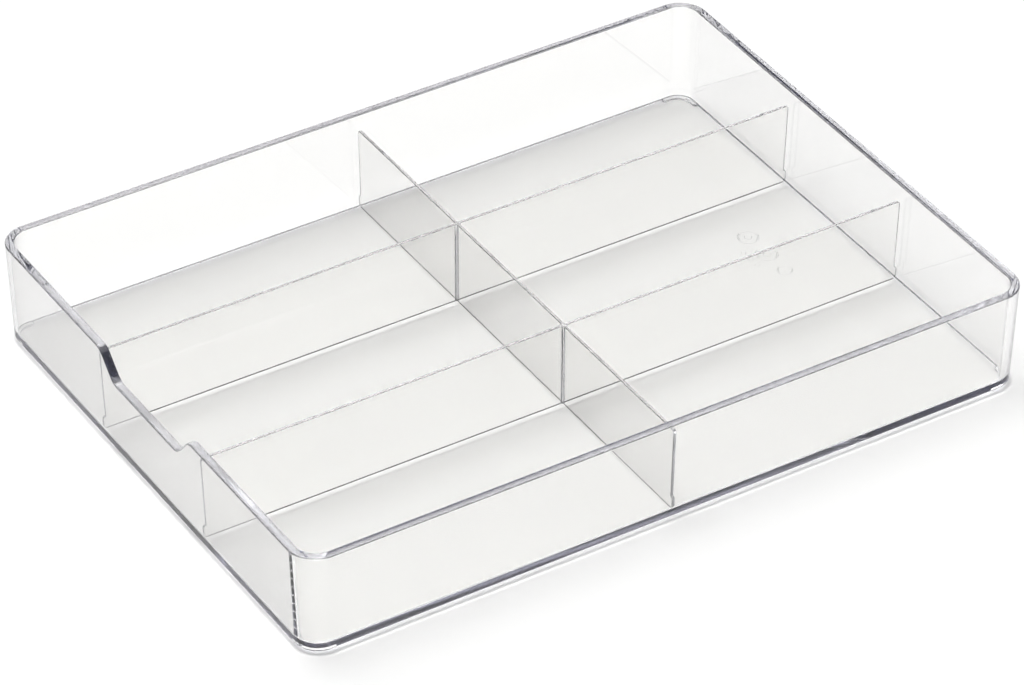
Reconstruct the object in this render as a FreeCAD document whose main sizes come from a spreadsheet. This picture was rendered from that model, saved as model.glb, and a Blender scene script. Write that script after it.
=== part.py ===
import FreeCAD, Part
import Sketcher
import math
import os

# Drawer organizer insert: a clear moulded tray with a finger-grip notch and a
# one-piece divider grid that stands on its floor. Millimetres, +Z up, long side
# along X, origin on the resting plane at the centre of the footprint.

doc = FreeCAD.newDocument("drawer_organizer_insert")
V = FreeCAD.Vector

# ------------------------------------------------------------------ dimensions
DIMS = [
    ("length", 320.0),          # outside length at the rim
    ("width", 238.0),           # outside width at the rim
    ("height", 45.5),           # feet to rim
    ("corner", 12.0),           # outside corner radius at the rim
    ("wall", 3.6),              # wall thickness, the same up the whole wall
    ("draft", 1.6),             # how far each wall leans in, rim to underside
    ("footheight", 1.0),        # how far the corner feet stand below the floor
    ("floor", 2.2),             # floor thickness
    ("floorfillet", 1.2),       # inside radius between wall and floor
    ("baseedge", 1.4),          # outside radius under the walls
    ("rimedge", 0.6),           # radius on both edges of the rim
    ("notchtop", 68.0),         # opening of the finger notch at the rim
    ("notchlow", 49.0),         # level length at the bottom of the notch
    ("notchdepth", 11.0),       # depth of the notch below the rim
    ("notchround", 6.0),        # radii where the notch turns
    ("footradius", 7.4),        # centre-line radius of a corner foot
    ("footwidth", 3.0),         # width of a corner foot
    ("footleg", 1.6),           # straight run at each end of a foot
    ("footedge", 0.3),          # radius under the feet
    ("gridtop", 40.0),          # height of the divider tops above the resting plane
    ("blade", 1.3),             # divider thickness
    ("endgap", 1.4),            # clear gap between a divider end and the wall
    ("tabgap", 0.3),            # running clearance of the foot tabs
    ("tabheight", 5.4),         # height of the foot tabs above the floor
    ("tabround", 1.5),          # lower corner of a tab, clears the floor radius
    ("tabtop", 0.9),            # upper corner of a tab
    ("endround", 1.5),          # upper corner of a divider end
    ("pitch", 77.6),            # spacing of the two long dividers
    ("crossfillet", 0.7),       # upright radii where dividers cross
    ("bladeedge", 0.3),         # radius on the divider tops
]
sheet = doc.addObject("Spreadsheet::Sheet", "Dimensions")
for i, (alias, value) in enumerate(DIMS):
    row = i + 1
    sheet.set("A%d" % row, alias)
    sheet.set("B%d" % row, repr(value))
    sheet.setAlias("B%d" % row, alias)
# worked-out sizes
DERIVED = [
    ("lean", "=draft / (height - footheight)"),
    ("floortop", "=footheight + floor"),
    ("baselength", "=length - 2 * draft"),
    ("basewidth", "=width - 2 * draft"),
    ("basecorner", "=corner - draft"),
    ("rise", "=height - floortop"),
    ("cutover", "=2"),
]
base_row = len(DIMS) + 2
for i, (alias, formula) in enumerate(DERIVED):
    row = base_row + i
    sheet.set("A%d" % row, alias)
    sheet.set("B%d" % row, formula)
    sheet.setAlias("B%d" % row, alias)
doc.recompute()


def val(name):
    return float(getattr(sheet, name))


def D(name):
    return "Dimensions." + name


def plane(body, role):
    for o in body.Origin.OriginFeatures:
        if o.Role == role:
            return o
    raise RuntimeError("origin plane %s missing" % role)


def axis(body, role):
    return plane(body, role)


def new_sketch(body, name, role, offset_expr=None):
    sk = body.newObject("Sketcher::SketchObject", name)
    sk.AttachmentSupport = [(plane(body, role), "")]
    sk.MapMode = "FlatFace"
    if offset_expr is not None:
        sk.setExpression("AttachmentOffset.Base.z", offset_expr)
    return sk


def bind(sk, name, expr):
    sk.setExpression("Constraints." + name, expr)


def rounded_rectangle(body, name, offset_expr, lx, ly, r, lx_expr, ly_expr, r_expr):
    """Rounded rectangle centred on the origin, parallel to the floor."""
    sk = new_sketch(body, name, "XY_Plane", offset_expr)
    hx, hy = lx / 2.0, ly / 2.0
    Z = V(0, 0, 1)
    g = [
        Part.LineSegment(V(-hx + r, hy, 0), V(hx - r, hy, 0)),
        Part.ArcOfCircle(Part.Circle(V(hx - r, hy - r, 0), Z, r), 0, math.pi / 2),
        Part.LineSegment(V(hx, hy - r, 0), V(hx, -hy + r, 0)),
        Part.ArcOfCircle(Part.Circle(V(hx - r, -hy + r, 0), Z, r), -math.pi / 2, 0),
        Part.LineSegment(V(hx - r, -hy, 0), V(-hx + r, -hy, 0)),
        Part.ArcOfCircle(Part.Circle(V(-hx + r, -hy + r, 0), Z, r), math.pi, 1.5 * math.pi),
        Part.LineSegment(V(-hx, -hy + r, 0), V(-hx, hy - r, 0)),
        Part.ArcOfCircle(Part.Circle(V(-hx + r, hy - r, 0), Z, r), math.pi / 2, math.pi),
    ]
    sk.addGeometry(g, False)
    C = Sketcher.Constraint
    sk.addConstraint([
        C("Tangent", 0, 2, 1, 2), C("Tangent", 1, 1, 2, 1),
        C("Tangent", 2, 2, 3, 2), C("Tangent", 3, 1, 4, 1),
        C("Tangent", 4, 2, 5, 2), C("Tangent", 5, 1, 6, 1),
        C("Tangent", 6, 2, 7, 2), C("Tangent", 7, 1, 0, 1),
        C("Horizontal", 0), C("Horizontal", 4), C("Vertical", 2), C("Vertical", 6),
        C("Equal", 1, 3), C("Equal", 3, 5), C("Equal", 5, 7),
        C("Symmetric", 1, 3, 5, 3, -1, 1),
    ])
    n = sk.addConstraint(C("DistanceX", 6, 1, 2, 1, lx)); sk.renameConstraint(n, "spanx")
    n = sk.addConstraint(C("DistanceY", 4, 1, 0, 1, ly)); sk.renameConstraint(n, "spany")
    n = sk.addConstraint(C("Radius", 1, r)); sk.renameConstraint(n, "cornerradius")
    bind(sk, "spanx", lx_expr)
    bind(sk, "spany", ly_expr)
    bind(sk, "cornerradius", r_expr)
    return sk


def fillet(body, name, edges, alias):
    base = body.Tip
    f = body.newObject("PartDesign::Fillet", name)
    f.Base = (base, edges)
    f.Radius = val(alias)
    f.setExpression("Radius", D(alias))
    body.Tip = f
    doc.recompute()
    if not f.isValid() or f.Shape.isNull():
        raise RuntimeError(name + " failed")
    return f


def pick(shape, test):
    names = []
    for i, e in enumerate(shape.Edges):
        if test(e):
            names.append("Edge%d" % (i + 1))
    return names


# ------------------------------------------------------------------ tray shell
tray = doc.addObject("PartDesign::Body", "tray_shell")
tray.Label = "tray_shell"

L, W, H, R = val("length"), val("width"), val("height"), val("corner")
T, DR, FH, FL = val("wall"), val("draft"), val("footheight"), val("floor")
lean = val("lean")
ft = FH + FL

s_base = rounded_rectangle(tray, "OutlineUnderside", D("footheight"),
                           L - 2 * DR, W - 2 * DR, R - DR,
                           D("baselength"), D("basewidth"), D("basecorner"))
s_rim = rounded_rectangle(tray, "OutlineRim", D("height"), L, W, R,
                          D("length"), D("width"), D("corner"))
doc.recompute()
outer = tray.newObject("PartDesign::AdditiveLoft", "OuterForm")
outer.Profile = s_base
outer.Sections = [s_rim]
outer.Ruled = True
doc.recompute()

i0 = T + lean * (H - ft)
i1 = T - lean * 2.0
inset0 = "(" + D("wall") + " + " + D("lean") + " * " + D("rise") + ")"
inset1 = "(" + D("wall") + " - " + D("lean") + " * " + D("cutover") + ")"
s_cav0 = rounded_rectangle(tray, "OutlineFloor", D("floortop"),
                           L - 2 * i0, W - 2 * i0, R - i0,
                           D("length") + " - 2 * " + inset0,
                           D("width") + " - 2 * " + inset0,
                           D("corner") + " - " + inset0)
s_cav1 = rounded_rectangle(tray, "OutlineMouth", D("height") + " + " + D("cutover"),
                           L - 2 * i1, W - 2 * i1, R - i1,
                           D("length") + " - 2 * " + inset1,
                           D("width") + " - 2 * " + inset1,
                           D("corner") + " - " + inset1)
doc.recompute()
vol0 = outer.Shape.Volume
cavity = tray.newObject("PartDesign::SubtractiveLoft", "Cavity")
cavity.Profile = s_cav0
cavity.Sections = [s_cav1]
cavity.Ruled = True
doc.recompute()
if not cavity.Shape.Volume < 0.5 * vol0:
    raise RuntimeError("cavity removed too little")
tray.Tip = cavity

# inside floor radius, then the outside radius under the walls
names = pick(cavity.Shape, lambda e: abs(e.BoundBox.ZMin - ft) < 1e-4 and abs(e.BoundBox.ZMax - ft) < 1e-4)
fillet(tray, "FloorRadius", names, "floorfillet")
names = pick(tray.Tip.Shape, lambda e: abs(e.BoundBox.ZMin - FH) < 1e-4 and abs(e.BoundBox.ZMax - FH) < 1e-4)
fillet(tray, "BaseRadius", names, "baseedge")

# finger-grip notch in the middle of the -X wall
s_notch = new_sketch(tray, "NotchOutline", "YZ_Plane")
nt, nl, nd = val("notchtop") / 2.0, val("notchlow") / 2.0, val("notchdepth")
zt, zl, zu = H, H - nd, H + 2.0
P = [V(-nl, zl, 0), V(nl, zl, 0), V(nt, zt, 0), V(nt, zu, 0), V(-nt, zu, 0), V(-nt, zt, 0)]
s_notch.addGeometry([Part.LineSegment(P[i], P[(i + 1) % 6]) for i in range(6)], False)
C = Sketcher.Constraint
s_notch.addConstraint([C("Coincident", i, 2, (i + 1) % 6, 1) for i in range(6)])
s_notch.addConstraint([
    C("Vertical", 2), C("Horizontal", 3), C("Vertical", 4),
    C("Symmetric", 0, 1, 0, 2, -2), C("Symmetric", 5, 1, 1, 2, -2),
])
for nm, con, ex in (
    ("low", C("DistanceX", 0, 1, 0, 2, 2 * nl), D("notchlow")),
    ("open", C("DistanceX", 5, 1, 1, 2, 2 * nt), D("notchtop")),
    ("level", C("DistanceY", -1, 1, 0, 1, zl), D("height") + " - " + D("notchdepth")),
    ("rim", C("DistanceY", -1, 1, 1, 2, zt), D("height")),
    ("above", C("DistanceY", 2, 1, 2, 2, 2.0), D("cutover")),
):
    n = s_notch.addConstraint(con)
    s_notch.renameConstraint(n, nm)
    bind(s_notch, nm, ex)
# the notch plane stands inside the tray, behind the -X wall
s_notch.setExpression("AttachmentOffset.Base.z", "-" + D("length") + " / 2 + 20")
doc.recompute()
before = tray.Tip.Shape.Volume
notch = tray.newObject("PartDesign::Pocket", "FingerNotch")
notch.Profile = s_notch
notch.Length = 30.0
notch.Reversed = False
doc.recompute()
if not notch.isValid() or notch.Shape.isNull() or not before - notch.Shape.Volume > 100.0:
    notch.Reversed = True
    doc.recompute()
if not before - notch.Shape.Volume > 100.0:
    raise RuntimeError("notch removed nothing")
tray.Tip = notch


def along_x(e):
    b = e.BoundBox
    return b.XLength > 1.5 and b.YLength < 1e-3 and b.ZLength < 1e-3 and b.XMax < 0


names = pick(notch.Shape, lambda e: along_x(e) and abs(e.BoundBox.ZMin - zl) < 1e-3)
if len(names) != 2:
    raise RuntimeError("notch floor edges: %d" % len(names))
fillet(tray, "NotchInnerRadius", names, "notchround")
names = pick(tray.Tip.Shape, lambda e: along_x(e) and abs(e.BoundBox.ZMin - zt) < 1e-3)
if len(names) != 2:
    raise RuntimeError("notch rim edges: %d" % len(names))
fillet(tray, "NotchOuterRadius", names, "notchround")


# soft edge all round the rim, running through the notch
def rim_edge(e):
    b = e.BoundBox
    if b.ZMin > H - 1e-3:
        # level rim edges, leaving out the short ones across the wall
        return not (b.XLength < T + 1.5 and b.YLength < 1e-3)
    if b.XMax < -L / 2.0 + T + 3.0 and b.ZMin > zl - 1e-3 and b.YMin > -nt - 8 and b.YMax < nt + 8:
        return b.YLength > 0.05
    return False


names = pick(tray.Tip.Shape, rim_edge)
fillet(tray, "RimRadius", names, "rimedge")

# four boomerang-shaped feet moulded under the corners: each pad is mirrored to
# the other end of its long side
rb = R - DR
cx, cy = L / 2.0 - DR - rb, W / 2.0 - DR - rb
fr, fw, leg = val("footradius"), val("footwidth"), val("footleg")
ro, ri, rc = fr + fw / 2.0, fr - fw / 2.0, fw / 2.0
Z = V(0, 0, 1)


def foot_pair(suffix, turn):
    """One foot drawn in the +X +Y corner, turned about Z, then mirrored in X."""
    sk = new_sketch(tray, "FootOutline" + suffix, "XY_Plane")
    sk.AttachmentOffset = FreeCAD.Placement(V(0, 0, 0), FreeCAD.Rotation(Z, turn))
    sk.addGeometry([
        Part.ArcOfCircle(Part.Circle(V(cx, cy, 0), Z, ro), 0, math.pi / 2),
        Part.LineSegment(V(cx, cy + ro, 0), V(cx - leg, cy + ro, 0)),
        Part.ArcOfCircle(Part.Circle(V(cx - leg, cy + fr, 0), Z, rc), math.pi / 2, 1.5 * math.pi),
        Part.LineSegment(V(cx - leg, cy + ri, 0), V(cx, cy + ri, 0)),
        Part.ArcOfCircle(Part.Circle(V(cx, cy, 0), Z, ri), 0, math.pi / 2),
        Part.LineSegment(V(cx + ri, cy, 0), V(cx + ri, cy - leg, 0)),
        Part.ArcOfCircle(Part.Circle(V(cx + fr, cy - leg, 0), Z, rc), math.pi, 2 * math.pi),
        Part.LineSegment(V(cx + ro, cy - leg, 0), V(cx + ro, cy, 0)),
    ], False)
    sk.addConstraint([
        C("Tangent", 0, 2, 1, 1), C("Tangent", 1, 2, 2, 1), C("Tangent", 2, 2, 3, 1),
        C("Tangent", 3, 2, 4, 2), C("Tangent", 4, 1, 5, 1), C("Tangent", 5, 2, 6, 1),
        C("Tangent", 6, 2, 7, 1), C("Tangent", 7, 2, 0, 1),
        C("Horizontal", 1), C("Vertical", 7), C("Coincident", 0, 3, 4, 3),
    ])
    for nm, con, ex in (
        ("centrex", C("DistanceX", -1, 1, 0, 3, cx), D("length") + " / 2 - " + D("corner")),
        ("centrey", C("DistanceY", -1, 1, 0, 3, cy), D("width") + " / 2 - " + D("corner")),
        ("outside", C("Radius", 0, ro), D("footradius") + " + " + D("footwidth") + " / 2"),
        ("inside", C("Radius", 4, ri), D("footradius") + " - " + D("footwidth") + " / 2"),
        ("legy", C("DistanceX", 1, 2, 1, 1, leg), D("footleg")),
        ("legx", C("DistanceY", 7, 1, 7, 2, leg), D("footleg")),
    ):
        k = sk.addConstraint(con)
        sk.renameConstraint(k, nm)
        bind(sk, nm, ex)
    doc.recompute()
    was = tray.Tip.Shape.Volume
    pad = tray.newObject("PartDesign::Pad", "CornerFoot" + suffix)
    pad.Profile = sk
    pad.Length = FH + 0.6
    pad.setExpression("Length", D("footheight") + " + 0.6")
    doc.recompute()
    if abs(pad.Shape.BoundBox.ZMin) > 1e-6 or not pad.Shape.Volume > was:
        raise RuntimeError("foot went the wrong way")
    mir = tray.newObject("PartDesign::Mirrored", "CornerFeet" + suffix)
    mir.Originals = [pad]
    mir.MirrorPlane = (plane(tray, "YZ_Plane"), [""])
    tray.Tip = mir
    doc.recompute()
    if not mir.Shape.Volume > pad.Shape.Volume:
        raise RuntimeError("mirrored foot missing")
    return mir


foot_pair("Rear", 0)
feet = foot_pair("Front", 180)
names = pick(feet.Shape, lambda e: e.BoundBox.ZMax < 1e-4)
if len(names) != 32:
    raise RuntimeError("foot edges: %d" % len(names))
fillet(tray, "FootEdges", names, "footedge")

# ---------------------------------------------------------------- divider grid
grid = doc.addObject("PartDesign::Body", "divider_grid")
grid.Label = "divider_grid"

ZT, B = val("gridtop"), val("blade")
gap, tabgap = val("endgap"), val("tabgap")
tabz = ft + val("tabheight")
half_pitch = val("pitch") / 2.0


def inner_half(full, z):
    """Half the clear inside size of the tray at height z."""
    return full / 2.0 - T - lean * (H - z)


def blade_profile(name, role, full, full_expr, offset_expr):
    """Side view of one blade: ends lean with the walls, a foot tab at each end."""
    sk = new_sketch(grid, name, role, offset_expr)
    top = inner_half(full, ZT) - gap
    low = inner_half(full, tabz) - gap
    tab = inner_half(full, tabz) - tabgap
    bot = inner_half(full, ft) - tabgap
    pts = [V(bot, ft, 0), V(tab, tabz, 0), V(low, tabz, 0), V(top, ZT, 0),
           V(-top, ZT, 0), V(-low, tabz, 0), V(-tab, tabz, 0), V(-bot, ft, 0)]
    n = len(pts)
    sk.addGeometry([Part.LineSegment(pts[i], pts[(i + 1) % n]) for i in range(n)], False)
    sk.addConstraint([C("Coincident", i, 2, (i + 1) % n, 1) for i in range(n)])
    sk.addConstraint([
        C("Horizontal", 1),
        C("Symmetric", 0, 1, 7, 1, -2), C("Symmetric", 1, 1, 6, 1, -2),
        C("Symmetric", 2, 1, 5, 1, -2), C("Symmetric", 3, 1, 4, 1, -2),
    ])
    half = "(" + full_expr + " / 2 - " + D("wall") + " - " + D("lean") + " * (" + D("height") + " - (%s)))"
    tz = D("floortop") + " + " + D("tabheight")
    for nm, con, ex in (
        ("bottomz", C("DistanceY", -1, 1, 0, 1, ft), D("floortop")),
        ("tabz", C("DistanceY", -1, 1, 1, 1, tabz), tz),
        ("topz", C("DistanceY", -1, 1, 3, 1, ZT), D("gridtop")),
        ("bottomx", C("DistanceX", -1, 1, 0, 1, bot), half % D("floortop") + " - " + D("tabgap")),
        ("tabx", C("DistanceX", -1, 1, 1, 1, tab), half % tz + " - " + D("tabgap")),
        ("lowx", C("DistanceX", -1, 1, 2, 1, low), half % tz + " - " + D("endgap")),
        ("topx", C("DistanceX", -1, 1, 3, 1, top), half % D("gridtop") + " - " + D("endgap")),
    ):
        k = sk.addConstraint(con)
        sk.renameConstraint(k, nm)
        bind(sk, nm, ex)
    return sk


s_short = blade_profile("ShortBladeOutline", "YZ_Plane", W, D("width"), None)
doc.recompute()
short = grid.newObject("PartDesign::Pad", "ShortBlade")
short.Profile = s_short
short.Length = B
short.setExpression("Length", D("blade"))
short.Midplane = True
grid.Tip = short
doc.recompute()

s_long_a = blade_profile("LongBladeOutlineRear", "XZ_Plane", L, D("length"), "-" + D("pitch") + " / 2")
s_long_b = blade_profile("LongBladeOutlineFront", "XZ_Plane", L, D("length"), D("pitch") + " / 2")
doc.recompute()
for nm, sk in (("LongBladeRear", s_long_a), ("LongBladeFront", s_long_b)):
    pad = grid.newObject("PartDesign::Pad", nm)
    pad.Profile = sk
    pad.Length = B
    pad.setExpression("Length", D("blade"))
    pad.Midplane = True
    grid.Tip = pad
    doc.recompute()

hb = B / 2.0


def upright(e):
    b = e.BoundBox
    return b.XLength < 1e-3 and b.YLength < 1e-3 and b.ZLength > 20


def at_crossing(e):
    if not upright(e):
        return False
    b = e.BoundBox
    return abs(abs(b.XMin) - hb) < 1e-3 and abs(abs(abs(b.YMin) - half_pitch) - hb) < 1e-3


names = pick(grid.Tip.Shape, at_crossing)
if len(names) != 8:
    raise RuntimeError("crossing edges: %d" % len(names))
fillet(grid, "CrossingRadius", names, "crossfillet")


def across(e):
    """Short edges across a blade's thickness."""
    b = e.BoundBox
    s = sorted([b.XLength, b.YLength, b.ZLength])
    return s[1] < 1e-3 and abs(s[2] - B) < 1e-3


names = pick(grid.Tip.Shape, lambda e: across(e) and abs(e.BoundBox.ZMin - ZT) < 1e-3)
if len(names) != 6:
    raise RuntimeError("end corners: %d" % len(names))
fillet(grid, "EndRadius", names, "endround")


def outermost(e, z, full_x, full_y):
    b = e.BoundBox
    if abs(b.ZMin - z) > 1e-3 or not across(e):
        return False
    x, y = abs(b.XMin + b.XMax) / 2.0, abs(b.YMin + b.YMax) / 2.0
    return x > full_x - 0.05 or y > full_y - 0.05


names = pick(grid.Tip.Shape, lambda e: outermost(e, tabz, inner_half(L, tabz) - tabgap, inner_half(W, tabz) - tabgap))
if len(names) != 6:
    raise RuntimeError("tab tops: %d" % len(names))
fillet(grid, "TabTopRadius", names, "tabtop")
names = pick(grid.Tip.Shape, lambda e: outermost(e, ft, inner_half(L, ft) - tabgap, inner_half(W, ft) - tabgap))
if len(names) != 6:
    raise RuntimeError("tab feet: %d" % len(names))
fillet(grid, "TabFootRadius", names, "tabround")


def top_edge(e):
    b = e.BoundBox
    if b.ZMin < ZT - val("endround") - 0.2:
        return False
    return not across(e) and b.ZMax > ZT - 1e-3


names = pick(grid.Tip.Shape, top_edge)
fillet(grid, "BladeTopRadius", names, "bladeedge")

# -------------------------------------------------------------------- write out
for b in (tray, grid):
    b.Placement = FreeCAD.Placement(V(0, 0, 0), FreeCAD.Rotation())
doc.recompute()
for o in doc.Objects:
    st = [str(x) for x in (o.State if isinstance(o.State, (list, tuple)) else [o.State])]
    if any("Invalid" in x or "Error" in x for x in st):
        raise RuntimeError("%s is %s" % (o.Name, st))
    if hasattr(o, "Shape") and o.isDerivedFrom("PartDesign::Feature"):
        if o.Shape.isNull() or not o.Shape.isValid():
            raise RuntimeError(o.Name + " has a bad shape")

os.makedirs("parts", exist_ok=True)
for b in (tray, grid):
    sh = b.Shape
    if sh.isNull() or not sh.isValid() or len(sh.Solids) != 1:
        raise RuntimeError(b.Label + " is not one valid solid")
    sh.exportStep("parts/" + b.Label + ".step")
    bb = sh.BoundBox
    print(b.Label, "volume %.1f mm3" % sh.Volume,
          "box %.2f %.2f %.2f .. %.2f %.2f %.2f" % (bb.XMin, bb.YMin, bb.ZMin, bb.XMax, bb.YMax, bb.ZMax))
common = tray.Shape.common(grid.Shape)
print("overlap %.6f mm3, closest %.4f mm" % (common.Volume, tray.Shape.distToShape(grid.Shape)[0]))
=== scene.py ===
import bpy
import bmesh
import math
import numpy as np
from mathutils import Matrix, Vector
from mathutils.geometry import delaunay_2d_cdt


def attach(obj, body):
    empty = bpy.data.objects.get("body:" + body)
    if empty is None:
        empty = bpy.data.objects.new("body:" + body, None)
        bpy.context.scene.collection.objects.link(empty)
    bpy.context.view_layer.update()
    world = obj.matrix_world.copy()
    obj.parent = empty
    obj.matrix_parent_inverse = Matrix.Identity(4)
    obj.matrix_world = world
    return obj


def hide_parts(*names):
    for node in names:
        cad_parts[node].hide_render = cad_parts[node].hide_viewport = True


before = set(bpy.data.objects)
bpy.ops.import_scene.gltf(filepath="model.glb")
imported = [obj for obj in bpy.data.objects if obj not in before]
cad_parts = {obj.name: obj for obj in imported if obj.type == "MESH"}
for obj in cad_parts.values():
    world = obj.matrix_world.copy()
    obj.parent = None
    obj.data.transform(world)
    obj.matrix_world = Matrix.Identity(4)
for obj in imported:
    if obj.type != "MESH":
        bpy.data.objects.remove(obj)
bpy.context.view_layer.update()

# ----------------------------------------------------------------------------
# Sizes of the object, in metres, the same as the solid model's
# ----------------------------------------------------------------------------
MM = 0.001
LEN, WID, HGT = 320.0, 238.0, 45.5
CORNER, WALL, DRAFT = 12.0, 3.6, 1.6
FOOT_H, FLOOR = 1.0, 2.2
FLOOR_FILLET, BASE_EDGE, RIM_EDGE = 1.2, 1.4, 0.6
NOTCH_TOP, NOTCH_LOW, NOTCH_DEEP, NOTCH_R = 68.0, 49.0, 11.0, 6.0
FOOT_R, FOOT_W, FOOT_LEG, FOOT_EDGE = 7.4, 3.0, 1.6, 0.3
GRID_TOP, BLADE, END_GAP, TAB_GAP = 40.0, 1.3, 1.4, 0.3
TAB_H, TAB_FOOT_R, TAB_TOP_R, END_R = 5.4, 1.5, 0.9, 1.5
PITCH, CROSS_R, BLADE_EDGE = 77.6, 0.7, 0.3
# round moulding marks: centre x, y, outer radius, inner radius
MARKS = [(121.0, 15.0, 4.4, 3.7), (121.0, 15.0, 1.5, 0.0), (121.0, 2.0, 4.4, 3.7), (121.0, 2.0, 1.5, 0.0),
         (121.0, -10.5, 3.2, 2.6), (113.5, -2.0, 1.0, 0.0), (113.5, 2.5, 1.0, 0.0), (113.5, 7.0, 1.0, 0.0)]
LEAN = DRAFT / (HGT - FOOT_H)
FLOOR_TOP = FOOT_H + FLOOR


# ----------------------------------------------------------------------------
# Mesh helpers
# ----------------------------------------------------------------------------
def soft_normals(me, split_deg=32.0):
    """Area-weighted corner normals, split where the surface has a real edge."""
    for p in me.polygons:
        p.use_smooth = True
    bm = bmesh.new()
    bm.from_mesh(me)
    bm.faces.ensure_lookup_table()
    limit = math.radians(split_deg)
    out = [None] * len(me.loops)
    areas = [f.calc_area() for f in bm.faces]
    for v in bm.verts:
        faces = list(v.link_faces)
        parent = {f.index: f.index for f in faces}

        def find(a):
            while parent[a] != a:
                a = parent[a]
            return a

        for e in v.link_edges:
            lf = e.link_faces
            if len(lf) == 2 and lf[0].normal.angle(lf[1].normal, 0.0) < limit:
                a, b = find(lf[0].index), find(lf[1].index)
                parent[a] = b
        sums = {}
        top = max(areas[f.index] for f in faces)
        for f in faces:
            r = find(f.index)
            w = max(areas[f.index] / top, 1e-4) ** 3
            if abs(f.normal.z) > 0.999999 and areas[f.index] > 1e-10:
                w *= 1e12                         # the level faces stay truly flat
            sums[r] = sums.get(r, Vector((0, 0, 0))) + f.normal * w
        for l in v.link_loops:
            n = sums[find(l.face.index)]
            out[l.index] = n.normalized() if n.length > 0 else l.face.normal
    bm.free()
    me.normals_split_custom_set([tuple(n) for n in out])


def arc(cx, cy, r, a0, a1, n):
    """n + 1 points of an arc, degrees."""
    return [(cx + r * math.cos(math.radians(a0 + (a1 - a0) * i / n)),
             cy + r * math.sin(math.radians(a0 + (a1 - a0) * i / n))) for i in range(n + 1)]


# ----------------------------------------------------------------------------
# Tray: one continuous moulding, swept round the rim line
# ----------------------------------------------------------------------------
def notch_height(y):
    """Rim height along the short wall that carries the finger notch."""
    y = abs(y)
    slope = math.atan2(NOTCH_DEEP, (NOTCH_TOP - NOTCH_LOW) / 2.0)
    tl = NOTCH_R * math.tan(slope / 2.0)
    y_top, y_low = NOTCH_TOP / 2.0, NOTCH_LOW / 2.0
    z_low = HGT - NOTCH_DEEP
    if y >= y_top + tl:
        return HGT
    if y <= y_low - tl:
        return z_low
    c_out = (y_top + tl, HGT - NOTCH_R)
    c_in = (y_low - tl, z_low + NOTCH_R)
    if y > y_top + tl - NOTCH_R * math.sin(slope):
        return c_out[1] + math.sqrt(max(NOTCH_R ** 2 - (y - c_out[0]) ** 2, 0.0))
    if y < c_in[0] + NOTCH_R * math.sin(slope):
        return c_in[1] - math.sqrt(max(NOTCH_R ** 2 - (y - c_in[0]) ** 2, 0.0))
    return z_low + (y - y_low) * math.tan(slope)


def rim_stations():
    """(x, y, nx, ny) round the rim, anticlockwise from the +X side."""
    hx, hy, r = LEN / 2.0, WID / 2.0, CORNER
    st = []

    def run(x0, y0, x1, y1, nx, ny, cuts):
        for t in cuts:
            st.append((x0 + (x1 - x0) * t, y0 + (y1 - y0) * t, nx, ny))

    n_side = [i / 24.0 for i in range(24)]
    run(hx, -hy + r, hx, hy - r, 1, 0, n_side)
    for (cx, cy, a0) in ((hx - r, hy - r, 0),):
        for i in range(32):
            a = math.radians(a0 + 90.0 * i / 32)
            st.append((cx + r * math.cos(a), cy + r * math.sin(a), math.cos(a), math.sin(a)))
    run(hx - r, hy, -hx + r, hy, 0, 1, n_side)
    for i in range(32):
        a = math.radians(90 + 90.0 * i / 32)
        st.append((-hx + r + r * math.cos(a), hy - r + r * math.sin(a), math.cos(a), math.sin(a)))
    # wall with the notch: fine steps where the rim dips
    ys = []
    y = hy - r
    while y > 39.0 + 1e-6:
        ys.append(y)
        y -= (hy - r - 39.0) / 10.0
    k = 0
    while True:
        y = 39.0 - 0.25 * k
        if y <= -39.0:
            break
        ys.append(y)
        k += 1
    y = -39.0
    while y > -(hy - r) + 1e-6:
        ys.append(y)
        y -= (hy - r - 39.0) / 10.0
    for y in ys:
        st.append((-hx, y, -1, 0))
    for i in range(32):
        a = math.radians(180 + 90.0 * i / 32)
        st.append((-hx + r + r * math.cos(a), -hy + r + r * math.sin(a), math.cos(a), math.sin(a)))
    run(-hx + r, -hy, hx - r, -hy, 0, -1, n_side)
    for i in range(32):
        a = math.radians(270 + 90.0 * i / 32)
        st.append((hx - r + r * math.cos(a), -hy + r + r * math.sin(a), math.cos(a), math.sin(a)))
    return st


def round_between(p, u, v, r, n):
    """Points of a radius r that joins the ray from corner p along u to the ray along v."""
    u = np.array(u, float); u /= np.linalg.norm(u)
    v = np.array(v, float); v /= np.linalg.norm(v)
    ang = math.acos(max(-1.0, min(1.0, float(u @ v))))
    tl = r / math.tan(ang / 2.0)
    bis = (u + v) / np.linalg.norm(u + v)
    c = np.array(p, float) + bis * r / math.sin(ang / 2.0)
    a = np.array(p, float) + u * tl - c
    b = np.array(p, float) + v * tl - c
    t0, t1 = math.atan2(a[1], a[0]), math.atan2(b[1], b[0])
    d = (t1 - t0 + math.pi) % (2 * math.pi) - math.pi
    return [(c[0] + r * math.cos(t0 + d * i / n), c[1] + r * math.sin(t0 + d * i / n)) for i in range(n + 1)]


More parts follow.
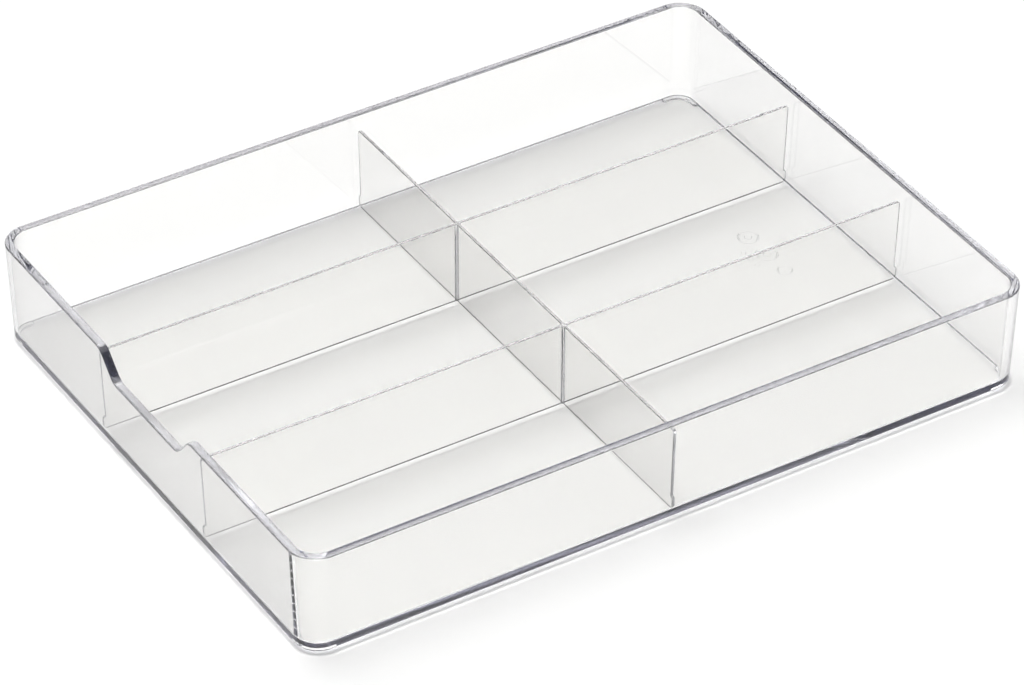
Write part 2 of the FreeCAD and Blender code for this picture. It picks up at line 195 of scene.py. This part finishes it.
def wall_section(h):
    """Section through the wall as (inset from the rim outline, z), underside to inside floor."""
    up = np.array([-LEAN, 1.0])
    pts = []
    base = (LEAN * (HGT - FOOT_H), FOOT_H)
    pts += round_between(base, (1, 0), up, BASE_EDGE, 8)
    top_o = (LEAN * (HGT - h), h)
    o_pts = round_between(top_o, -up, (1, 0), RIM_EDGE, 8)
    lo = pts[-1]
    for k in range(1, 7):
        t = k / 7.0
        pts.append((lo[0] + (o_pts[0][0] - lo[0]) * t, lo[1] + (o_pts[0][1] - lo[1]) * t))
    pts += o_pts
    top_i = (WALL + LEAN * (HGT - h), h)
    i_pts = round_between(top_i, (-1, 0), -up, RIM_EDGE, 8)
    pts += i_pts
    floor_c = (WALL + LEAN * (HGT - FLOOR_TOP), FLOOR_TOP)
    f_pts = round_between(floor_c, up, (1, 0), FLOOR_FILLET, 8)
    hi = pts[-1]
    for k in range(1, 7):
        t = k / 7.0
        pts.append((hi[0] + (f_pts[0][0] - hi[0]) * t, hi[1] + (f_pts[0][1] - hi[1]) * t))
    pts += f_pts
    return pts


def foot_outline(n=14):
    """Outline of the foot in the +X +Y corner, anticlockwise."""
    rb = CORNER - DRAFT
    cx, cy = LEN / 2.0 - DRAFT - rb, WID / 2.0 - DRAFT - rb
    ro, ri, rc = FOOT_R + FOOT_W / 2.0, FOOT_R - FOOT_W / 2.0, FOOT_W / 2.0
    pts = arc(cx, cy, ro, 0, 90, 20)
    pts += arc(cx - FOOT_LEG, cy + FOOT_R, rc, 90, 270, n)
    pts += arc(cx, cy, ri, 90, 0, 20)
    pts += arc(cx + FOOT_R, cy - FOOT_LEG, rc, 180, 360, n)
    out = []
    for p in pts:
        if not out or math.hypot(p[0] - out[-1][0], p[1] - out[-1][1]) > 1e-6:
            out.append(p)
    if math.hypot(out[0][0] - out[-1][0], out[0][1] - out[-1][1]) < 1e-6:
        out.pop()
    return out


def inset_loop(pts, d):
    """Anticlockwise loop moved inwards by d."""
    n = len(pts)
    out = []
    for i in range(n):
        a, b, c = pts[i - 1], pts[i], pts[(i + 1) % n]
        e0 = np.array([b[0] - a[0], b[1] - a[1]]); e0 /= np.linalg.norm(e0)
        e1 = np.array([c[0] - b[0], c[1] - b[1]]); e1 /= np.linalg.norm(e1)
        n0 = np.array([-e0[1], e0[0]]); n1 = np.array([-e1[1], e1[0]])
        m = n0 + n1
        m /= np.linalg.norm(m)
        k = d / max(float(m @ n0), 0.5)
        out.append((b[0] + m[0] * k, b[1] + m[1] * k))
    return out


def point_in(x, y, loop):
    inside = False
    for (x0, y0), (x1, y1) in zip(loop, loop[1:] + loop[:1]):
        if (y0 > y) != (y1 > y) and x < x0 + (y - y0) * (x1 - x0) / (y1 - y0):
            inside = not inside
    return inside


def build_tray():
    st = rim_stations()
    ns = len(st)
    verts, faces = [], []
    npf = None
    for (x, y, nx, ny) in st:
        h = notch_height(y) if nx == -1 and ny == 0 else HGT
        sec = wall_section(h)
        npf = len(sec)
        for (inset, z) in sec:
            verts.append((x - nx * inset, y - ny * inset, z))
    for i in range(ns):
        j = (i + 1) % ns
        for k in range(npf - 1):
            faces.append((i * npf + k, j * npf + k, j * npf + k + 1, i * npf + k + 1))
    # inside floor, one flat face
    faces.append(tuple(i * npf + npf - 1 for i in range(ns)))
    me = bpy.data.meshes.new("tray_shell_clear")
    bm = bmesh.new()
    bv = [bm.verts.new((v[0] * MM, v[1] * MM, v[2] * MM)) for v in verts]
    for f in faces:
        bm.faces.new([bv[i] for i in f])
    # four feet, then the underside round them
    flat = [[bv[i * npf] for i in range(ns)]]
    outline = foot_outline()
    holes = []
    for sx in (1, -1):
        for sy in (1, -1):
            loop = [(sx * p[0], sy * p[1]) for p in outline]
            if sx * sy < 0:
                loop.reverse()
            holes.append(loop)
            rings = [(loop, FOOT_H)]
            for i in range(0, 6):
                a = math.radians(90.0 * i / 5)
                ins = FOOT_EDGE * (1 - math.cos(a))
                z = FOOT_EDGE * (1 - math.sin(a))
                rings.append((inset_loop(loop, ins) if ins > 0 else loop, z))
            rv = [[bm.verts.new((p[0] * MM, p[1] * MM, z * MM)) for p in lp] for lp, z in rings]
            n = len(loop)
            for a, b in zip(rv[:-1], rv[1:]):
                for i in range(n):
                    bm.faces.new([a[i], a[(i + 1) % n], b[(i + 1) % n], b[i]])
            bm.faces.new(rv[-1])
            flat.append(rv[0])
    # faint round moulding marks on the underside, near one short wall
    discs = []
    for (mx, my, ro, ri) in MARKS:
        lp_o = [(mx + ro * math.cos(2 * math.pi * i / 48), my + ro * math.sin(2 * math.pi * i / 48)) for i in range(48)]
        rings = [(ro, 0.0), (ro - 0.10, 0.10), (ri + 0.10, 0.10), (ri, 0.0)] if ri > 0 else [(ro, 0.0), (ro - 0.10, 0.10)]
        rv = []
        for (r, d) in rings:
            rv.append([bm.verts.new(((mx + r * math.cos(2 * math.pi * i / 48)) * MM,
                                     (my + r * math.sin(2 * math.pi * i / 48)) * MM, (FOOT_H - d) * MM)) for i in range(48)])
        for a, b in zip(rv[:-1], rv[1:]):
            for i in range(48):
                bm.faces.new([a[i], a[(i + 1) % 48], b[(i + 1) % 48], b[i]])
        flat.append(rv[0])
        if ri > 0:
            flat.append(rv[-1])
        else:
            bm.faces.new(rv[-1])
        discs.append((mx, my, ro, ri))
    pts, edges = [], []
    for ring in flat:
        k = len(pts)
        pts += ring
        edges += [(k + i, k + (i + 1) % len(ring)) for i in range(len(ring))]
    cdt = delaunay_2d_cdt([Vector((v.co.x / MM, v.co.y / MM)) for v in pts], edges, [], 1, 1e-6)
    co, tris, orig = cdt[0], cdt[2], cdt[3]
    for tri in tris:
        cx = sum(co[i][0] for i in tri) / len(tri)
        cy = sum(co[i][1] for i in tri) / len(tri)
        if any(ri < math.hypot(cx - mx, cy - my) < ro for (mx, my, ro, ri) in discs):
            continue
        if not any(point_in(cx, cy, h) for h in holes):
            bm.faces.new([pts[orig[i][0]] for i in tri])
    bmesh.ops.recalc_face_normals(bm, faces=bm.faces)
    open_edges = sum(1 for e in bm.edges if len(e.link_faces) != 2)
    print("tray open edges", open_edges, "faces", len(bm.faces))
    bm.to_mesh(me)
    bm.free()
    soft_normals(me)
    ob = bpy.data.objects.new("tray_shell_clear", me)
    bpy.context.scene.collection.objects.link(ob)
    return ob


# ----------------------------------------------------------------------------
# Divider grid: one moulding, stacked outlines
# ----------------------------------------------------------------------------
def inner_half(full, z):
    return full / 2.0 - WALL - LEAN * (HGT - z)


def blade_end(full, z):
    """How far a blade reaches along its length at height z."""
    tab_z = FLOOR_TOP + TAB_H
    if z <= tab_z + 1e-9:
        e = inner_half(full, z) - TAB_GAP
        if z < FLOOR_TOP + TAB_FOOT_R:
            e -= TAB_FOOT_R - math.sqrt(max(TAB_FOOT_R ** 2 - (FLOOR_TOP + TAB_FOOT_R - z) ** 2, 0.0))
        if z > tab_z - TAB_TOP_R:
            e -= TAB_TOP_R - math.sqrt(max(TAB_TOP_R ** 2 - (z - tab_z + TAB_TOP_R) ** 2, 0.0))
        return e
    e = inner_half(full, z) - END_GAP
    if z > GRID_TOP - END_R:
        e -= END_R - math.sqrt(max(END_R ** 2 - (z - GRID_TOP + END_R) ** 2, 0.0))
    return e


def grid_outline(ex, ey, hb, rcross, rend):
    """Plan outline of the crossing blades, anticlockwise."""
    py = PITCH / 2.0
    pts = []

    def end(cx, cy, ux, uy):
        """Rounded blade end: centre of the end face, outward direction u."""
        tx, ty = -uy, ux
        for (s, a0, a1) in ((-1, -90, 0), (1, 0, 90)):
            bx = cx - ux * rend + s * tx * (hb - rend)
            by = cy - uy * rend + s * ty * (hb - rend)
            for i in range(5):
                a = math.radians(a0 + (a1 - a0) * i / 4)
                dx = math.cos(a) * ux + math.sin(a) * tx
                dy = math.cos(a) * uy + math.sin(a) * ty
                pts.append((bx + rend * dx, by + rend * dy))

    def inside(cx, cy, sx, sy, first):
        """Concave radius in the corner where blades cross; (sx, sy) is the open quadrant."""
        ox, oy = cx + sx * (hb + rcross), cy + sy * (hb + rcross)
        seq = []
        for i in range(9):
            a = math.radians(90.0 * i / 8)
            seq.append((ox - sx * rcross * math.cos(a), oy - sy * rcross * math.sin(a)))
        # i = 0 touches the upright side, i = 8 the level side
        pts.extend(seq if first == "upright" else seq[::-1])

    # anticlockwise from the rear end of the short blade
    end(0, ey, 0, 1)
    inside(0, py, -1, 1, "upright")
    end(-ex, py, -1, 0)
    inside(0, py, -1, -1, "level")
    inside(0, -py, -1, 1, "upright")
    end(-ex, -py, -1, 0)
    inside(0, -py, -1, -1, "level")
    end(0, -ey, 0, -1)
    inside(0, -py, 1, -1, "upright")
    end(ex, -py, 1, 0)
    inside(0, -py, 1, 1, "level")
    inside(0, py, 1, -1, "upright")
    end(ex, py, 1, 0)
    inside(0, py, 1, 1, "level")
    return pts


def build_grid():
    lift = 0.04                                   # rests on the floor, a hair clear of it
    tab_z = FLOOR_TOP + TAB_H
    levels = []                                   # (z, ex, ey, half blade)
    hb = BLADE / 2.0

    def add(z, zz, side):
        levels.append((z, blade_end(LEN, zz), blade_end(WID, zz), hb - side))

    for i in range(9):
        a = math.radians(90.0 * i / 8)
        z = FLOOR_TOP + TAB_FOOT_R * (1 - math.cos(a))
        if i == 0:
            add(FLOOR_TOP + lift, z, 0.0)
        elif z > FLOOR_TOP + lift + 0.01:
            add(z, z, 0.0)
    for k in range(1, 4):
        z = FLOOR_TOP + TAB_FOOT_R + (TAB_H - TAB_FOOT_R - TAB_TOP_R) * k / 4.0
        add(z, z, 0)
    for i in range(9):
        a = math.radians(90.0 * i / 8)
        z = tab_z - TAB_TOP_R + TAB_TOP_R * math.sin(a)
        add(z, min(z, tab_z), 0)
    levels.append((tab_z, inner_half(LEN, tab_z) - END_GAP, inner_half(WID, tab_z) - END_GAP, hb))
    z0, z1 = tab_z, GRID_TOP - END_R
    for k in range(1, 13):
        z = z0 + (z1 - z0) * k / 12.0
        add(z, z + 1e-6, 0)
    zs = sorted(set([round(GRID_TOP - END_R + END_R * math.sin(math.radians(90.0 * i / 10)), 5) for i in range(1, 11)]
                    + [round(GRID_TOP - BLADE_EDGE + BLADE_EDGE * math.sin(math.radians(90.0 * i / 6)), 5) for i in range(7)]))
    for z in zs:
        side = 0.0
        if z > GRID_TOP - BLADE_EDGE:
            d = z - (GRID_TOP - BLADE_EDGE)
            side = BLADE_EDGE - math.sqrt(max(BLADE_EDGE ** 2 - d * d, 0.0))
        add(z, z, side)
    me = bpy.data.meshes.new("divider_grid_clear")
    bm = bmesh.new()
    rings = []
    for (z, ex, ey, h) in levels:
        lp = grid_outline(ex, ey, h, CROSS_R + (hb - h), min(0.22, h * 0.5))
        rings.append([bm.verts.new((x * MM, y * MM, z * MM)) for x, y in lp])
    n = len(rings[0])
    for a, b in zip(rings[:-1], rings[1:]):
        for i in range(n):
            bm.faces.new([a[i], a[(i + 1) % n], b[(i + 1) % n], b[i]])
    bm.edges.ensure_lookup_table()
    for ring, nz in ((rings[0], -1), (rings[-1], 1)):
        edges = [bm.edges.get((ring[i], ring[(i + 1) % n])) for i in range(n)]
        bmesh.ops.triangle_fill(bm, edges=edges, use_beauty=True, normal=(0, 0, nz))
    bmesh.ops.remove_doubles(bm, verts=bm.verts, dist=1e-7)
    bmesh.ops.dissolve_degenerate(bm, dist=1e-7, edges=bm.edges)
    bmesh.ops.recalc_face_normals(bm, faces=bm.faces)
    open_edges = sum(1 for e in bm.edges if len(e.link_faces) != 2)
    print("grid open edges", open_edges, "faces", len(bm.faces))
    bm.to_mesh(me)
    bm.free()
    soft_normals(me)
    ob = bpy.data.objects.new("divider_grid_clear", me)
    bpy.context.scene.collection.objects.link(ob)
    return ob


# ----------------------------------------------------------------------------
# Materials
# ----------------------------------------------------------------------------
def clear_styrene(name, density=5.0):
    """Crystal polystyrene: polished, very slightly wavy, violet-grey where it is deep, with painted shade where it is
    seen edge-on.
    """
    m = bpy.data.materials.new(name)
    m.use_nodes = True
    nt = m.node_tree
    nt.nodes.clear()
    out = nt.nodes.new("ShaderNodeOutputMaterial")
    bsdf = nt.nodes.new("ShaderNodeBsdfPrincipled")
    bsdf.inputs["IOR"].default_value = 1.59
    bsdf.inputs["Transmission Weight"].default_value = 1.0
    bsdf.inputs["Metallic"].default_value = 0.0
    tc = nt.nodes.new("ShaderNodeTexCoord")
    # painted shade: the base colour goes dark violet-grey where the surface is seen at a grazing angle, so walls and
    # edges seen edge-on look darker
    lw = nt.nodes.new("ShaderNodeLayerWeight")
    lw.inputs["Blend"].default_value = 0.5
    sq = nt.nodes.new("ShaderNodeMath")
    sq.operation = "POWER"
    sq.inputs[1].default_value = 2.6
    # painted shade: colour B is the dark violet-grey laid on at grazing view angles
    grazing_painted_shade = nt.nodes.new("ShaderNodeMix")
    grazing_painted_shade.data_type = "RGBA"
    grazing_painted_shade.inputs["A"].default_value = (0.994, 0.993, 0.984, 1.0)
    grazing_painted_shade.inputs["B"].default_value = (0.12, 0.11, 0.14, 1.0)
    nt.links.new(lw.outputs["Facing"], sq.inputs[0])
    nt.links.new(sq.outputs["Value"], grazing_painted_shade.inputs["Factor"])
    nt.links.new(grazing_painted_shade.outputs["Result"], bsdf.inputs["Base Color"])
    # polish: a mirror skin with faint handling haze in patches
    haze = nt.nodes.new("ShaderNodeTexNoise")
    haze.inputs["Scale"].default_value = 18.0
    haze.inputs["Detail"].default_value = 3.0
    ramp = nt.nodes.new("ShaderNodeMapRange")
    ramp.inputs["From Min"].default_value = 0.45
    ramp.inputs["From Max"].default_value = 0.75
    ramp.inputs["To Min"].default_value = 0.008
    ramp.inputs["To Max"].default_value = 0.03
    nt.links.new(tc.outputs["Object"], haze.inputs["Vector"])
    nt.links.new(haze.outputs["Fac"], ramp.inputs["Value"])
    nt.links.new(ramp.outputs["Result"], bsdf.inputs["Roughness"])
    # moulding waviness, a few centimetres long and microns high
    wave = nt.nodes.new("ShaderNodeTexNoise")
    wave.inputs["Scale"].default_value = 30.0
    wave.inputs["Detail"].default_value = 1.0
    bump = nt.nodes.new("ShaderNodeBump")
    bump.inputs["Strength"].default_value = 0.25
    bump.inputs["Distance"].default_value = 0.00006
    nt.links.new(tc.outputs["Object"], wave.inputs["Vector"])
    nt.links.new(wave.outputs["Fac"], bump.inputs["Height"])
    nt.links.new(bump.outputs["Normal"], bsdf.inputs["Normal"])
    nt.links.new(bsdf.outputs["BSDF"], out.inputs["Surface"])
    vol = nt.nodes.new("ShaderNodeVolumeAbsorption")
    vol.inputs["Color"].default_value = (0.45, 0.45, 0.60, 1.0)
    vol.inputs["Density"].default_value = density
    nt.links.new(vol.outputs["Volume"], out.inputs["Volume"])
    return m


tray = build_tray()
grid = build_grid()
mat_tray = clear_styrene("clear_styrene_tray")
mat_grid = clear_styrene("clear_styrene_divider", density=3.0)
tray.data.materials.append(mat_tray)
grid.data.materials.append(mat_grid)
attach(tray, "tray")
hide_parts("tray_shell")
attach(grid, "dividers")
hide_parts("divider_grid")

# ----------------------------------------------------------------------------
# Stage, light and camera
# ----------------------------------------------------------------------------
fm = bpy.data.meshes.new("studio_floor")
s = 4.0
fm.from_pydata([(-s, -s, 0), (s, -s, 0), (s, s, 0), (-s, s, 0)], [], [(0, 1, 2, 3)])
floor = bpy.data.objects.new("studio_floor", fm)
bpy.context.scene.collection.objects.link(floor)
floor.location.z = -0.0001
pale = bpy.data.materials.new("studio_white")
pale.use_nodes = True
pb = pale.node_tree.nodes["Principled BSDF"]
pb.inputs["Base Color"].default_value = (0.92, 0.92, 0.915, 1.0)
pb.inputs["Roughness"].default_value = 0.9
pb.inputs["Specular IOR Level"].default_value = 0.1
fm.materials.append(pale)

world = bpy.data.worlds.new("studio")
bpy.context.scene.world = world
world.use_nodes = True
wn = world.node_tree
wn.nodes.clear()
wout = wn.nodes.new("ShaderNodeOutputWorld")
wbg = wn.nodes.new("ShaderNodeBackground")
wtc = wn.nodes.new("ShaderNodeTexCoord")
wsep = wn.nodes.new("ShaderNodeSeparateXYZ")
wramp = wn.nodes.new("ShaderNodeValToRGB")
wn.links.new(wtc.outputs["Generated"], wsep.inputs["Vector"])
wn.links.new(wsep.outputs["Z"], wramp.inputs["Fac"])
wramp.color_ramp.elements[0].position = 0.0
wramp.color_ramp.elements[0].color = (0.15, 0.145, 0.185, 1)
wramp.color_ramp.elements[1].position = 0.95
wramp.color_ramp.elements[1].color = (1.8, 1.8, 1.8, 1)
for at, v in ((0.55, 0.08), (0.66, 0.10), (0.80, 1.3)):
    e = wramp.color_ramp.elements.new(at)
    e.color = (v, v, v * 1.15 if v < 0.2 else v, 1)


def soft_source(total, toward, inner_deg, outer_deg, level):
    """A round studio source with a soft border, far away in one direction."""
    dot = wn.nodes.new("ShaderNodeVectorMath")
    dot.operation = "DOT_PRODUCT"
    wn.links.new(wtc.outputs["Generated"], dot.inputs[0])
    dot.inputs[1].default_value = Vector(toward).normalized()
    edge = wn.nodes.new("ShaderNodeMapRange")
    edge.interpolation_type = "SMOOTHSTEP"
    edge.inputs["From Min"].default_value = math.cos(math.radians(outer_deg))
    edge.inputs["From Max"].default_value = math.cos(math.radians(inner_deg))
    edge.inputs["To Min"].default_value = 0.0
    edge.inputs["To Max"].default_value = level
    wn.links.new(dot.outputs["Value"], edge.inputs["Value"])
    add = wn.nodes.new("ShaderNodeMath")
    add.operation = "ADD"
    wn.links.new(total, add.inputs[0])
    wn.links.new(edge.outputs["Result"], add.inputs[1])
    return add.outputs[0]


level = soft_source(wramp.outputs["Color"], (-0.08, 0.38, 0.92), 10.0, 26.0, 4.2)
wn.links.new(level, wbg.inputs["Color"])
wbg.inputs["Strength"].default_value = 0.95
wn.links.new(wbg.outputs["Background"], wout.inputs["Surface"])


cam_data = bpy.data.cameras.new("photo_view")
cam = bpy.data.objects.new("photo_view", cam_data)
bpy.context.scene.collection.objects.link(cam)
right = Vector((0.8498657, -0.5269926, 0.0026549))
up = Vector((0.3136524, 0.5098537, 0.8010439))
back = Vector((-0.4234978, -0.679947, 0.5985997))
rot = Matrix((right, up, back)).transposed().to_4x4()
cam.matrix_world = Matrix.Translation((-0.901771, -1.449513, 1.2825)) @ rot
cam_data.sensor_fit = "HORIZONTAL"
cam_data.sensor_width = 36.0
cam_data.lens = 193.788
cam_data.clip_end = 50.0
bpy.context.scene.camera = cam

sc = bpy.context.scene
sc.view_settings.view_transform = "Standard"
sc.view_settings.look = "None"
sc.view_settings.exposure = 0.0
sc.cycles.max_bounces = 96
sc.cycles.glossy_bounces = 96
sc.cycles.transmission_bounces = 96
sc.cycles.diffuse_bounces = 4
sc.cycles.sample_clamp_indirect = 0.0
sc.cycles.blur_glossy = 0.0
